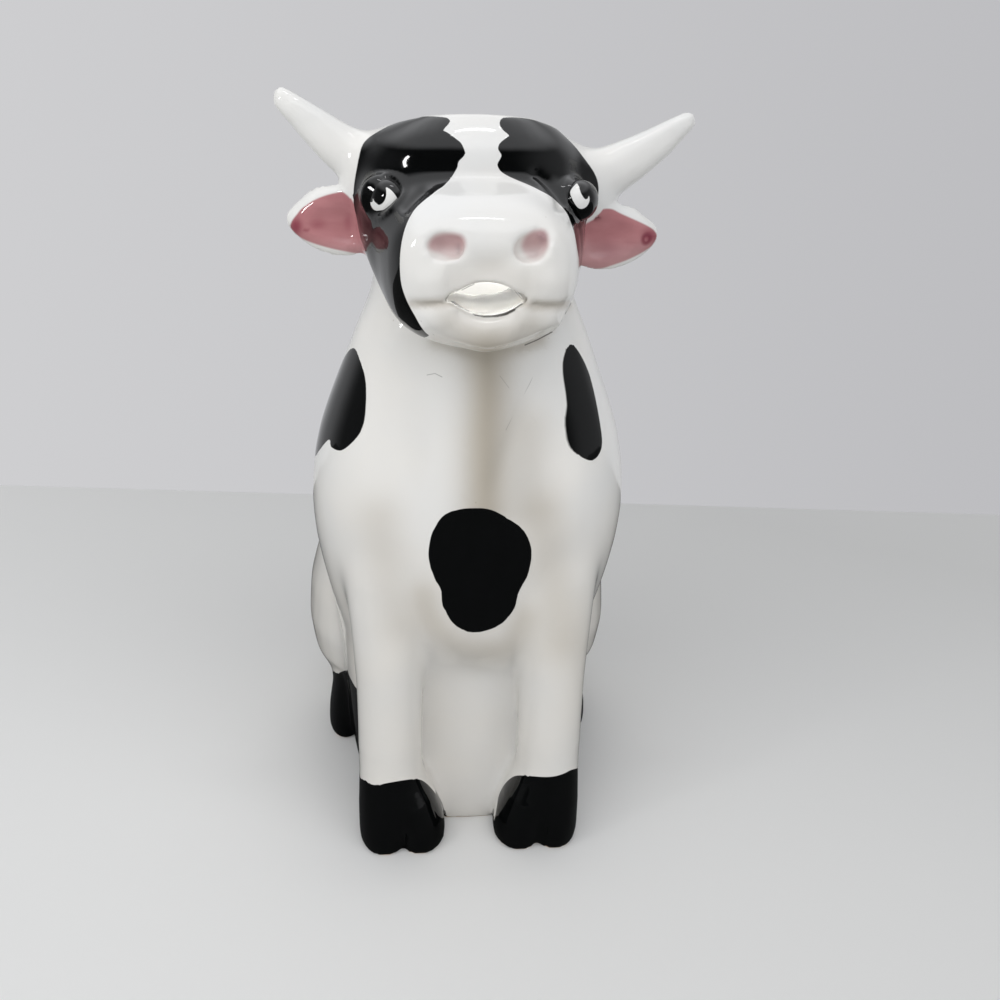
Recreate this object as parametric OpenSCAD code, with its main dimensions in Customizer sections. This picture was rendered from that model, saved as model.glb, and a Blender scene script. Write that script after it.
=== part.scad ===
// Seated cow creamer: a hollow glazed jug, filled through the open crown of the
// head and poured through the mouth. Millimetres, table at z = 0, face towards -y,
// origin in the middle of the foot under the trunk. The model is drawn from the
// tips of the front hooves backwards, and place() moves it on to its origin.

/* [Trunk] */
// Height of the filling rim above the table
rim_h = 160; // [145:1:175]
// Width of the trunk at the shoulders
body_w = 71; // [64:1:78]
// Depth of the trunk from the chest to the rump
body_d = 96; // [88:1:104]
// How far the chest lies behind the tips of the front hooves
chest_set = 3; // [2:0.5:6]
// Thickness of the cast wall
wall = 4; // [3:0.1:4.6]
// Thickness of the floor
floor_t = 5; // [4:0.1:7]
// Height of the dewlap ridge down the chest
dewlap_h = 1.8; // [0:0.1:2.5]
// Depth of the hollows beside the dewlap
hollow_h = 2.3; // [0:0.1:2.6]

/* [Head] */
// Width of the head across the temples
head_w = 48; // [44:0.5:52]
// Height of the head from the chin to the filling rim
head_h = 39.5; // [36:0.5:43]
// How far the muzzle stands in front of the tips of the front hooves
muzzle_set = 9; // [6:0.5:12]
// How far the neck joint lies below the chin
neck_drop = 4.5; // [3:0.5:7]
// How far the filling rim falls from the forehead to the nape
rim_fall = 4; // [0:0.5:6]

/* [Face] */
// Width of the pouring hole in the mouth
mouth_w = 13; // [10:0.5:15]
// Height of the pouring hole in the mouth
mouth_h = 6; // [5:0.25:7]
// Width of the closed line of the lips, from corner to corner
lips_w = 28; // [24:0.5:30]
// Thickness of the lower lip
lip_t = 5; // [4:0.25:6]
// Distance between the middles of the nostrils
nostril_gap = 15.6; // [14:0.2:18]
// Width of a nostril
nostril_w = 6.4; // [5:0.2:7.5]
// Distance between the middles of the eyes
eye_gap = 38; // [35:0.5:40]
// Width of an eye
eye_w = 8.5; // [7:0.25:10]

/* [Horns and ears] */
// How far the tip of the left horn stands out from the middle
left_horn_reach = 39; // [37:0.5:41]
// How far the tip of the right horn stands out from the middle
right_horn_reach = 43.5; // [41:0.5:46]
// Thickness of a horn at its root
horn_t = 11; // [9:0.25:12]
// Thickness of a horn at its tip
horn_tip_t = 3.2; // [2.4:0.1:4.5]
// How far the tip of the left horn stands above the rim
horn_rise = 3.8; // [1:0.2:7]
// How much lower the tip of the right horn is
horn_drop = 2.2; // [0:0.2:4]
// Distance between the tips of the ears
ear_span = 75; // [71:1:78]
// Height of an ear across its leaf
ear_h = 14; // [12:0.25:16]
// Thickness of an ear
ear_t = 5.4; // [4.6:0.1:6.5]
// Depth of the pink hollow in the ear
ear_cup = 2.2; // [1:0.1:2.8]

/* [Legs] */
// Distance between the middles of the forelegs
foreleg_gap = 36.6; // [34:0.2:39]
// Thickness of a foreleg
foreleg_t = 15.2; // [13.5:0.1:17]
// Height of a front hoof
fore_hoof_h = 18; // [15:0.5:21]
// Width of a front hoof
fore_hoof_w = 20.5; // [18:0.5:21.5]
// Length of a front hoof
fore_hoof_l = 17; // [15:0.5:20]
// How far each haunch stands out beyond the side of the trunk
haunch_out = 5.5; // [4:0.25:7]
// Height of the haunches
haunch_h = 68; // [62:1:74]
// Length of a haunch from knee to rump
haunch_l = 54; // [48:1:58]
// How far the knee of the haunch lies behind the tips of the front hooves
knee_set = 42; // [39:1:46]
// Height of a hind hoof
hind_hoof_h = 18.5; // [15:0.5:21]
// Width of a hind hoof
hind_hoof_w = 16; // [13:0.5:18]
// Length of a hind hoof
hind_hoof_l = 19; // [16:0.5:22]

/* [Tail handle] */
// Thickness of the tail
tail_t = 9; // [7.5:0.25:11]
// How far the handle stands out behind the rump
tail_reach = 14; // [10:0.5:18]
// Height of the tail's root on the rump
tail_root_h = 34; // [28:1:40]
// How far the tail's end on the nape lies below the rim
tail_end_drop = 32; // [26:1:40]
// Thickness of the tuft
tuft_t = 13; // [11:0.25:15]

/* [Hidden] */
// Points round a lofted section and round a limb
ring_n = 40;
limb_n = 18;
haunch_n = 24;
face_n = 14;
bead_n = 10;
// Fullness of a section: 2 is an ellipse, more is squarer
trunk_full = 2.3;
head_full = 2.5;
// Overrun of a cut, and height of the flat cones on a limb's section
over = 1;
leaf = 0.3;

chin_h = rim_h - head_h;
neck_h = chin_h - neck_drop;
rim_r = wall / 2;
// The head reaches from the muzzle back into the neck, as a share of body_d
nape_share = 0.458;
head_l = muzzle_set + chest_set + body_d * nape_share;

// Trunk from the floor to the rim: height as a share of rim_h, front, widest place
// and back as shares of body_d behind the chest, half width as a share of body_w / 2
trunk_shares = [
    [0.000, 0.105, 0.490, 0.940, 0.77],
    [0.015, 0.100, 0.490, 0.965, 0.80],
    [0.070, 0.100, 0.490, 0.990, 0.83],
    [0.150, 0.100, 0.490, 1.000, 0.85],
    [0.220, 0.095, 0.480, 0.990, 0.87],
    [0.262, 0.085, 0.460, 0.980, 0.885],
    [0.293, 0.058, 0.430, 0.970, 0.90],
    [0.330, 0.028, 0.390, 0.945, 0.92],
    [0.375, 0.008, 0.350, 0.910, 0.95],
    [0.440, 0.000, 0.310, 0.860, 0.99],
    [0.500, 0.002, 0.285, 0.810, 1.00],
    [0.550, 0.010, 0.275, 0.765, 0.98],
    [0.600, 0.022, 0.265, 0.725, 0.93],
    [0.650, 0.038, 0.260, 0.680, 0.85],
    [0.700, 0.058, 0.260, 0.635, 0.76],
    [0.740, 0.078, 0.260, 0.605, 0.69],
    [0.775, 0.100, 0.265, 0.575, 0.62],
    [0.810, 0.113, 0.270, 0.550, 0.58],
    [0.845, 0.115, 0.270, 0.525, 0.575],
    [0.890, 0.105, 0.270, 0.500, 0.59],
    [0.940, 0.095, 0.270, 0.475, 0.565],
    [0.970, 0.088, 0.265, 0.460, 0.53],
    [1.000, 0.080, 0.265, 0.448, 0.50]
];
// Heights of the rings, as shares of rim_h up to the neck joint and of the
// height from that joint to the rim above it
body_ring_shares = [0, 0.015, 0.07, 0.15, 0.22, 0.25, 0.275, 0.3, 0.33, 0.36, 0.4,
                    0.44, 0.48, 0.52, 0.56, 0.6, 0.64, 0.68];
bore_ring_shares = [0.66, 0.6, 0.54, 0.48, 0.42, 0.37, 0.33, 0.3, 0.26, 0.19, 0.12];
neck_ring_shares = [0, 0.1, 0.2, 0.32, 0.45, 0.6, 0.75, 0.88];
// Rounding of the cavity where it meets the floor: height and inset in walls
floor_round_shares = [[1.6, 1], [0.7, 1.3], [0.2, 1.9], [0, 2.9]];

// Head from muzzle to nape: place as a share of head_l; bottom, widest height and
// top as shares of head_h above the chin; half width as a share of head_w / 2
head_shares = [
    [0.000, 0.270, 0.350, 0.470, 0.29],
    [0.015, 0.150, 0.350, 0.545, 0.50],
    [0.048, 0.065, 0.350, 0.595, 0.63],
    [0.107, 0.010, 0.355, 0.640, 0.715],
    [0.180, -0.01, 0.370, 0.680, 0.765],
    [0.270, -0.01, 0.410, 0.735, 0.82],
    [0.360, 0.015, 0.480, 0.870, 0.90],
    [0.450, 0.065, 0.570, 0.950, 0.96],
    [0.550, 0.150, 0.650, 0.990, 1.00],
    [0.660, 0.230, 0.690, 0.980, 1.00],
    [0.770, 0.280, 0.670, 0.940, 0.95],
    [0.875, 0.355, 0.650, 0.820, 0.81],
    [0.955, 0.455, 0.640, 0.735, 0.54],
    [1.000, 0.545, 0.640, 0.670, 0.25]
];
// Middle of the head's cavity, as shares of head_l and head_h
head_mid_shares = [0.51, 0.52];

function smooth(t) = let (c = max(0, min(1, t))) c * c * (3 - 2 * c);
function bell(t) = exp(-t * t);
function row(t, rows, i = 0) =
    i >= len(rows) - 2 || t < rows[i + 1][0] ? i : row(t, rows, i + 1);
function slope(rows, i, col) =
    let (a = max(i - 1, 0), b = min(i + 1, len(rows) - 1))
    (rows[b][col] - rows[a][col]) / (rows[b][0] - rows[a][0]);
// Smooth curve through one column of a table of shares
function curve(t, rows, col) =
    let (i = row(t, rows),
         a = rows[i],
         b = rows[i + 1],
         d = b[0] - a[0],
         u = (t - a[0]) / d,
         k = smooth(u))
    a[col] * (1 - k) + b[col] * k
    + d * u * (1 - u) * (slope(rows, i, col) * (1 - u) - slope(rows, i + 1, col) * u);
function power(v, full) = sign(v) * pow(abs(v), 2 / full);
// Egg-shaped outline: half width to the sides, two different reaches fore and aft
function egg(half, fore, aft, full) =
    [for (i = [0:ring_n - 1]) let (a = 360 * i / ring_n)
        [half * power(cos(a), full), (sin(a) < 0 ? fore : aft) * power(sin(a), full)]];

// Relief of the chest: dewlap ridge in the middle, hollows beside it and above the
// forelegs. Place and spread to the sides as shares of body_w, then up as shares of rim_h
dewlap_shares = [0, 0.06, 0.66, 0.12];
hollow_shares = [[0.185, 0.075, 0.6, 0.1], [0.21, 0.065, 0.37, 0.07]];
function dent(x, z, s) = bell((abs(x) / body_w - s[0]) / s[1]) * bell((z / rim_h - s[2]) / s[3]);
function relief(x, z) =
    hollow_h * (dent(x, z, hollow_shares[0]) + dent(x, z, hollow_shares[1]))
    - dewlap_h * dent(x, z, dewlap_shares);
function trunk_ring(z, inset) =
    let (t = z / rim_h,
         front = chest_set + body_d * curve(t, trunk_shares, 1),
         mid = chest_set + body_d * curve(t, trunk_shares, 2),
         back = chest_set + body_d * curve(t, trunk_shares, 3),
         half = body_w / 2 * curve(t, trunk_shares, 4),
         fall = rim_fall * smooth((z - neck_h) / (rim_h - neck_h)))
    [for (p = egg(half - inset, mid - front - inset, back - mid - inset, trunk_full))
        let (y = mid + p[1] + (p[1] < 0 ? relief(p[0], z) : 0))
        [p[0], y, z - fall * (y - front) / (back - front)]];
function head_ring(t) =
    let (low = chin_h + head_h * curve(t, head_shares, 1),
         mid = chin_h + head_h * curve(t, head_shares, 2),
         top = chin_h + head_h * curve(t, head_shares, 3),
         half = head_w / 2 * curve(t, head_shares, 4))
    [for (p = egg(half, mid - low, top - mid, head_full))
        [-p[0], head_l * t - muzzle_set, mid + p[1]]];

// Closed solid through a stack of rings
module skin(rings) {
    n = len(rings[0]);
    last = (len(rings) - 1) * n;
    sides = [for (i = [0:len(rings) - 2], j = [0:n - 1])
        let (a = i * n + j, b = i * n + (j + 1) % n)
        each [[a, a + n, b], [b, a + n, b + n]]];
    polyhedron(
        points = [for (r = rings) each r],
        faces = concat([[for (j = [0:n - 1]) j]], sides, [[for (j = [n - 1:-1:0]) last + j]])
    );
}

body_rings = [for (s = body_ring_shares) trunk_ring(s * rim_h, 0)];
neck_ring = trunk_ring(neck_h, 0);
neck_rings = [for (s = neck_ring_shares) trunk_ring(neck_h + s * (rim_h - neck_h), 0)];
rim_turns = [0:30:90];
function rim_z(a) = rim_h - rim_r + rim_r * sin(a);
rim_rings = [for (a = rim_turns) trunk_ring(rim_z(a), rim_r - rim_r * cos(a))];
head_rings = [for (r = head_shares) head_ring(r[0])];

// Outer form of the trunk up to the neck joint, without its cavity
module trunk_form() {
    skin(concat(body_rings, [neck_ring]));
}

module neck_form() {
    skin(concat(neck_rings, rim_rings));
}

module head_form() {
    skin(head_rings);
}

module neck_bore() {
    skin(concat(
        [trunk_ring(neck_h - over, wall)],
        [for (s = neck_ring_shares) trunk_ring(neck_h + s * (rim_h - neck_h), wall)],
        [for (a = rim_turns) trunk_ring(rim_z(a), wall - rim_r + rim_r * cos(a))],
        [trunk_ring(rim_h + wall, rim_r)]
    ));
}

module head_bore() {
    mid_y = head_l * head_mid_shares[0] - muzzle_set;
    mid_z = chin_h + head_h * head_mid_shares[1];
    translate([0, mid_y, mid_z])
        scale([1 - 2 * wall / head_w, 1 - 2 * wall / head_l, 1 - 2 * wall / head_h])
            translate([0, -mid_y, -mid_z]) head_form();
}

// Moves the model from the tips of the front hooves on to its origin
foot_mid = chest_set + body_d * trunk_shares[0][2];
module place() {
    translate([0, -foot_mid, 0]) children();
}

// A limb's section: a flat cone to each side, so that the stretches that are hulled
// from section to section share its outline and overlap a little in the middle. The
// first and last section of a limb are flat outside
function ups(i, last) = i == 0 ? [1] : i == last ? [-1] : [-1, 1];
module section(rx, ry, ups, sides = limb_n) {
    for (up = ups)
        scale([rx, ry, up]) cylinder(h = leaf, r1 = 1, r2 = 0, $fn = sides);
}

module both_sides(side) {
    mirror([side == "left" ? 1 : 0, 0, 0]) children();
}

/* Trunk */
module body_shell() {
    color("white") place() skin(concat(
        body_rings,
        [neck_ring, trunk_ring(neck_h, wall)],
        [for (s = bore_ring_shares) trunk_ring(s * rim_h, wall)],
        [for (s = floor_round_shares) trunk_ring(floor_t + s[0] * wall, s[1] * wall)]
    ));
}

/* Face */
// Places on the muzzle: heights as shares of head_h above the chin
mouth_share = 0.225;
lip_share = 0.105;
nostril_share = 0.455;
eye_share = 0.635;
// How far the corners of the mouth lie behind the muzzle tip, in shares of head_l
corner_share = 0.125;
eye_set_share = 0.345;
lip_steps = 8;
// Widening of the pouring hole on its way in
mouth_flare_share = 1.25;
// Turns of the nostrils and the eyes
nostril_tilt = 25;
nostril_turn = 18;
eye_turn = 55;

// A place on the line of the lips, from corner to corner as t goes from -1 to 1
function lip_at(t, z_share, set) =
    [lips_w / 2 * t, head_l * corner_share * t * t - muzzle_set + set,
     chin_h + head_h * z_share + head_h * 0.03 * t * t];

module lower_lip() {
    for (i = [0:lip_steps - 1])
        hull() {
            lip_bead(2 * i / lip_steps - 1);
            lip_bead(2 * (i + 1) / lip_steps - 1);
        }
}

module lip_bead(t) {
    r = lip_t / 2 * (1 - 0.45 * t * t);
    translate(lip_at(t, lip_share, lip_t / 2)) sphere(r, $fn = bead_n);
}

// Groove between the lips, out to the corners of the mouth
module lip_groove() {
    for (i = [0:lip_steps - 1])
        hull() {
            groove_bead(2 * i / lip_steps - 1);
            groove_bead(2 * (i + 1) / lip_steps - 1);
        }
}

module groove_bead(t) {
    translate(lip_at(t, mouth_share, 0)) sphere(lip_t * 0.22, $fn = bead_n);
}

module mouth_hole() {
    z = chin_h + head_h * mouth_share;
    hull() {
        translate([0, wall * 3 - muzzle_set, z]) mouth_disc(mouth_flare_share);
        translate([0, -muzzle_set - over, z]) mouth_disc(1);
    }
}

module mouth_disc(grow) {
    rotate([90, 0, 0]) linear_extrude(leaf) hull() {
        scale([mouth_w * 0.42 * grow, mouth_h / 2 * grow]) circle(1, $fn = limb_n);
        for (corner = [-1, 1])
            translate([corner * mouth_w * 0.46 * grow, mouth_h * -0.06])
                circle(mouth_w * 0.04, $fn = bead_n);
    }
}

module nostril(side) {
    y = nostril_w * 0.12 - muzzle_set;
    translate([side * nostril_gap / 2, y, chin_h + head_h * nostril_share])
        rotate([nostril_tilt, 0, side * nostril_turn])
            scale([nostril_w / 2, nostril_w * 0.42, nostril_w * 0.42]) sphere(1, $fn = face_n);
}

module eye_bulge(side) {
    y = head_l * eye_set_share - muzzle_set;
    translate([side * eye_gap / 2, y, chin_h + head_h * eye_share])
        rotate([0, 0, side * eye_turn])
            scale([eye_w / 2, eye_w * 0.35, eye_w * 0.42]) sphere(1, $fn = face_n);
}

// Head and upper neck without any hole
module head_solid() {
    neck_form();
    head_form();
    lower_lip();
    for (side = [-1, 1])
        eye_bulge(side);
}

module head_shell() {
    color("white") place() difference() {
        head_solid();
        neck_bore();
        head_bore();
        lip_groove();
        mouth_hole();
        for (side = [-1, 1])
            nostril(side);
    }
}

/* Horns */
horn_steps = 8;
// Root, bend and tip of a horn: outwards as a share of its reach, and height as a
// share of the way from the root to the tip
horn_out_shares = [0.54, 0.75, 1];
horn_up_shares = [0, 0.3, 1];
// Place of the horns along the head, and height of their roots below the rim
horn_set_share = 0.56;
horn_root_share = 0.245;

function bend(a, b, c, t) = a * (1 - t) * (1 - t) + 2 * b * t * (1 - t) + c * t * t;
// Flare of a horn where it grows out of the head: a share of its radius, over a
// share of its length
horn_flare_share = 0.64;
horn_flare_end_share = 0.34;
function horn_r(t) =
    (horn_tip_t + (horn_t - horn_tip_t) * pow(1 - t, 0.75)) / 2
    * (1 + horn_flare_share * pow(max(0, 1 - t / horn_flare_end_share), 2));
horn_root_z = rim_h - head_h * horn_root_share;
horn_tip_z = rim_h + horn_rise;
function horn_at(t, reach, lower) =
    let (x = reach - horn_tip_t / 2, h = horn_tip_z - horn_tip_t / 2 - horn_root_z,
         o = horn_out_shares, u = horn_up_shares)
    [bend(x * o[0], x * o[1], x, t), head_l * horn_set_share - muzzle_set,
     horn_root_z - lower + h * bend(u[0], u[1], 1, t)];

module horn_section(i, reach, lower) {
    t = i / horn_steps;
    half = 0.5 / horn_steps;
    d = horn_at(t + half, reach, lower) - horn_at(t - half, reach, lower);
    translate(horn_at(t, reach, lower)) rotate([0, atan2(d[0], d[2]), 0])
        section(horn_r(t), horn_r(t), ups(i, horn_steps));
}

module horn_form(reach, lower) {
    for (i = [0:horn_steps - 2])
        hull() {
            horn_section(i, reach, lower);
            horn_section(i + 1, reach, lower);
        }
    hull() {
        horn_section(horn_steps - 1, reach, lower);
        translate(horn_at(1, reach, lower)) sphere(horn_tip_t / 2, $fn = limb_n);
    }
}

module horn(side, reach, lower) {
    color("white") place() difference() {
        both_sides(side) horn_form(reach, lower);
        head_solid();
    }
}

module left_horn() { horn("left", left_horn_reach, 0); }
module right_horn() { horn("right", right_horn_reach, horn_drop); }

/* Ears */
// From the root inside the head to the tip: place along the ear, half height as a
// share of ear_h / 2 and thickness as a share of ear_t
ear_shares = [
    [0, 0.72, 1], [0.2, 0.9, 1], [0.36, 1, 1], [0.5, 1, 0.98], [0.62, 0.93, 0.95],
    [0.73, 0.82, 0.9], [0.83, 0.66, 0.82], [0.92, 0.46, 0.7], [1, 0.2, 0.5]
];
// Root and tip of an ear along the head, its height above the chin, and how much
// lower the right ear is than the left
ear_set_shares = [0.47, 0.55];
ear_up_share = 0.495;
ear_drop = 2;

function ear_at(s, drop) =
    [head_w * 0.38 + (ear_span / 2 - head_w * 0.38) * s,
     head_l * (ear_set_shares[0] * (1 - s) + ear_set_shares[1] * s) - muzzle_set,
     chin_h + head_h * ear_up_share - drop];

module ear_section(i, drop) {
    s = ear_shares[i];
    translate(ear_at(s[0], drop)) rotate([0, 90, 0])
        section(ear_h / 2 * s[1], ear_t / 2 * s[2], ups(i, len(ear_shares) - 1));
}

module ear_form(drop) {
    for (i = [0:len(ear_shares) - 2])
        hull() {
            ear_section(i, drop);
            ear_section(i + 1, drop);
        }
}

module ear(side, drop, horn_reach, horn_lower) {
    color("white") place() difference() {
        both_sides(side) ear_form(drop);
        both_sides(side) horn_form(horn_reach, horn_lower);
        both_sides(side) translate(ear_at(0.52, drop) - [0, ear_t * 0.55, 0])
            scale([ear_span * 0.13, ear_cup, ear_h * 0.36]) sphere(1, $fn = limb_n);
        head_solid();
    }
}

module left_ear() { ear("left", 0, left_horn_reach, 0); }
module right_ear() { ear("right", ear_drop, right_horn_reach, horn_drop); }

/* Legs */
foreleg_top = rim_h * 0.56;
// Foreleg from the hoof into the shoulder: height as a share of the way from the hoof
// to foreleg_top, middle behind the hoof tips and half widths as shares of foreleg_t
foreleg_shares = [
    [0, 0.61, 0.5, 0.5], [0.16, 0.62, 0.49, 0.49], [0.33, 0.66, 0.5, 0.5],
    [0.45, 0.72, 0.54, 0.54], [0.56, 0.83, 0.6, 0.6], [0.67, 0.99, 0.67, 0.66],
    [0.78, 1.22, 0.7, 0.72], [0.89, 1.45, 0.66, 0.72], [1, 1.64, 0.56, 0.66]
];

module foreleg_section(i) {
    s = foreleg_shares[i];
    z = fore_hoof_h + (foreleg_top - fore_hoof_h) * s[0];
    translate([foreleg_gap / 2, foreleg_t * s[1], z])
        section(foreleg_t * s[2], foreleg_t * s[3], ups(i, len(foreleg_shares) - 1));
}

module foreleg_form() {
    for (i = [0:len(foreleg_shares) - 2])
        hull() {
            foreleg_section(i);
            foreleg_section(i + 1);
        }
}

module foreleg(side) {
    color("white") place() difference() {
        both_sides(side) foreleg_form();
        trunk_form();
    }
}

module left_foreleg() { foreleg("left"); }
module right_foreleg() { foreleg("right"); }

// A toe of a hoof from the sole up: height as a share of the hoof, half width and
// half length as shares, and how far it has drawn in towards the leg
toe_shares = [
    [0, 0.9, 0.93, 0], [0.1, 1, 1, 0], [0.35, 1, 0.99, 0.12], [0.7, 0.97, 0.94, 0.55],
    [1, 0.93, 0.88, 1]
];

module toe_section(i, h, foot, leg, rx, ry) {
    s = toe_shares[i];
    p = foot + (leg - foot) * s[3];
    translate([p[0], p[1], s[0] * h]) section(rx * s[1], ry * s[2], ups(i, len(toe_shares) - 1));
}

// Two toes side by side: the cleft is the groove between them
module hoof_form(h, w, l, mid, leg_x, leg_y) {
    for (toe = [-1, 1], i = [0:len(toe_shares) - 2])
        hull() {
            foot = [mid + toe * w * 0.2, l / 2];
            leg = [leg_x + toe * w * 0.09, leg_y];
            toe_section(i, h, foot, leg, w * 0.3, l / 2);
            toe_section(i + 1, h, foot, leg, w * 0.3, l / 2);
        }
}

module fore_hoof_form() {
    leg_x = foreleg_gap / 2;
    leg_y = foreleg_t * foreleg_shares[0][1];
    mid = leg_x + foreleg_t / 2 - fore_hoof_w / 2;
    hoof_form(fore_hoof_h, fore_hoof_w, fore_hoof_l, mid, leg_x, leg_y);
}

module fore_hoof(side) {
    color([0.1, 0.1, 0.11]) place() difference() {
        both_sides(side) fore_hoof_form();
        trunk_form();
    }
}

module left_fore_hoof() { fore_hoof("left"); }
module right_fore_hoof() { fore_hoof("right"); }

haunch_half = body_w / 2 + haunch_out;
// Haunch from the table up: height as a share of haunch_h, front and back as
// shares of haunch_l behind the knee, inner and outer side as shares of haunch_half
haunch_shares = [
    [0, 0.38, 0.95, 0.38, 0.8], [0.05, 0.35, 0.98, 0.37, 0.84], [0.14, 0.3, 1, 0.36, 0.88],
    [0.23, 0.19, 1, 0.35, 0.925], [0.33, 0.06, 1, 0.34, 0.975], [0.47, 0, 1, 0.32, 1],
    [0.62, 0.02, 0.95, 0.31, 0.98], [0.76, 0.08, 0.84, 0.31, 0.92],
    [0.88, 0.16, 0.7, 0.33, 0.82], [0.96, 0.24, 0.56, 0.37, 0.72], [1, 0.32, 0.46, 0.42, 0.62]
];

module haunch_section(i) {
    s = haunch_shares[i];
    rx = haunch_half * (s[4] - s[3]) / 2;
    ry = haunch_l * (s[2] - s[1]) / 2;
    translate([haunch_half * s[3] + rx, knee_set + haunch_l * s[1] + ry, s[0] * haunch_h])
        section(rx, ry, ups(i, len(haunch_shares) - 1), haunch_n);
}

module haunch_form() {
    for (i = [0:len(haunch_shares) - 2])
        hull() {
            haunch_section(i);
            haunch_section(i + 1);
        }
}

// How far out the outer side of a hind hoof lies, as a share of the haunch's
hind_hoof_out_share = 0.876;

module hind_hoof_form() {
    mid = haunch_half * hind_hoof_out_share - hind_hoof_w / 2;
    translate([0, knee_set + haunch_l * 0.1, 0])
        hoof_form(hind_hoof_h, hind_hoof_w, hind_hoof_l, mid, mid, hind_hoof_l * 0.55);
}

module haunch(side) {
    color("white") place() difference() {
        both_sides(side) haunch_form();
        both_sides(side) hind_hoof_form();
        trunk_form();
    }
}

module left_haunch() { haunch("left"); }
module right_haunch() { haunch("right"); }

module hind_hoof(side) {
    color([0.1, 0.1, 0.11]) place() difference() {
        both_sides(side) hind_hoof_form();
        trunk_form();
    }
}

module left_hind_hoof() { hind_hoof("left"); }
module right_hind_hoof() { hind_hoof("right"); }

/* Tail handle */
tail_steps = 12;
tuft_steps = 8;
// Step along the tail over which its direction is taken
tail_look = 0.01;
tail_end_h = rim_h - tail_end_drop;
// Share of the tail's length at which the tuft starts
tuft_share = 0.78;
rump_y = chest_set + body_d * curve(tail_root_h / rim_h, trunk_shares, 3);
nape_y = chest_set + body_d * curve(tail_end_h / rim_h, trunk_shares, 3);
// Root, two pulls and end of the tail's curve, as [y, z]
tail_pulls = [
    [rump_y - tail_t * 0.4, tail_root_h],
    [rump_y + tail_reach, tail_root_h + (tail_end_h - tail_root_h) * 0.3],
    [rump_y + tail_reach * 0.7, tail_end_h + tail_t * 0.6],
    [nape_y - tail_t * 0.3, tail_end_h]
];
function tail_at(t) = let (u = 1 - t, p = tail_pulls)
    u * u * u * p[0] + 3 * u * u * t * p[1] + 3 * u * t * t * p[2] + t * t * t * p[3];
function tail_r(t) = tail_t / 2 * (1.18 - 0.24 * smooth(t * 2));
function tuft_r(s) = (tail_t * 0.94 + (tuft_t - tail_t * 0.94) * sin(180 * min(1, s * 1.15))) / 2;

module tail_section(t, r, ups) {
    p = tail_at(t);
    d = tail_at(t + tail_look) - tail_at(t - tail_look);
    translate([0, p[0], p[1]]) rotate([-atan2(d[0], d[1]), 0, 0]) section(r, r, ups);
}

module tail_handle() {
    color("white") place() difference() {
        for (i = [0:tail_steps - 1])
            let (a = tuft_share * i / tail_steps, b = tuft_share * (i + 1) / tail_steps)
            hull() {
                tail_section(a, tail_r(a), ups(i, tail_steps));
                tail_section(b, tail_r(b), ups(i + 1, tail_steps));
            }
        trunk_form();
    }
}

module tail_tuft() {
    color([0.1, 0.1, 0.11]) place() difference() {
        for (i = [0:tuft_steps - 1])
            let (a = i / tuft_steps, b = (i + 1) / tuft_steps)
            hull() {
                tail_section(tuft_share + (1 - tuft_share) * a, tuft_r(a), ups(i, tuft_steps));
                tail_section(tuft_share + (1 - tuft_share) * b, tuft_r(b), ups(i + 1, tuft_steps));
            }
        neck_form();
        trunk_form();
    }
}

body_shell();
head_shell();
left_horn();
right_horn();
left_ear();
right_ear();
left_foreleg();
right_foreleg();
left_fore_hoof();
right_fore_hoof();
left_haunch();
right_haunch();
left_hind_hoof();
right_hind_hoof();
tail_handle();
tail_tuft();
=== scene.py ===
import math

import bmesh
import bpy
import numpy as np
from mathutils import Matrix, Vector
from mathutils.bvhtree import BVHTree


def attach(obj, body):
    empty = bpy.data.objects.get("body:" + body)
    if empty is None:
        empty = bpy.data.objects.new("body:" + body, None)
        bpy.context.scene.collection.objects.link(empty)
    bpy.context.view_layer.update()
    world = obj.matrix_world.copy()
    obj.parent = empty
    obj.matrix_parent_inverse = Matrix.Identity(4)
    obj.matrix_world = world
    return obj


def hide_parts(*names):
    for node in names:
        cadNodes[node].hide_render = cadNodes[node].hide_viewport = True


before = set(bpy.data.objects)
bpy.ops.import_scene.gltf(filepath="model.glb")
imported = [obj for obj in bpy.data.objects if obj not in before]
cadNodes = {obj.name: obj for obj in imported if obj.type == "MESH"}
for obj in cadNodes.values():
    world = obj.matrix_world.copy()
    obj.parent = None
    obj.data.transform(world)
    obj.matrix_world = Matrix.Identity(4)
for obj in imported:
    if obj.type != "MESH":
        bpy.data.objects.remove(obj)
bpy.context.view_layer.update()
scene = bpy.context.scene
mm = 0.001


def fromHex(text):
    channels = [int(text[i:i + 2], 16) / 255 for i in (1, 3, 5)]
    return tuple(c / 12.92 if c <= 0.04045 else ((c + 0.055) / 1.055) ** 2.4 for c in channels) + (1,)


def addNode(tree, kind, inputs=None, output=None, **settings):
    # inputs are other nodes' outputs, hex colours or numbers, by the name or place of the socket
    node = tree.nodes.new(kind)
    for key, value in settings.items():
        setattr(node, key, value)
    for key, value in (inputs or {}).items():
        if isinstance(value, bpy.types.NodeSocket):
            tree.links.new(value, node.inputs[key])
        else:
            node.inputs[key].default_value = fromHex(value) if isinstance(value, str) else value
    return node if output is None else node.outputs[output]


def newObject(name, mesh):
    piece = bpy.data.objects.new(name, mesh)
    scene.collection.objects.link(piece)
    return piece


def applied(piece):
    # the mesh as its modifiers leave it
    bpy.context.view_layer.update()
    result = bpy.data.meshes.new_from_object(piece.evaluated_get(bpy.context.evaluated_depsgraph_get()))
    piece.modifiers.clear()
    old = piece.data
    piece.data = result
    bpy.data.meshes.remove(old)


def column(items, key, width=1, kind=np.float32):
    # one value of every vertex, edge, face or corner
    out = np.empty(len(items) * width, kind)
    items.foreach_get(key, out)
    return out.reshape(-1, width) if width > 1 else out


print("camera")
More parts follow.
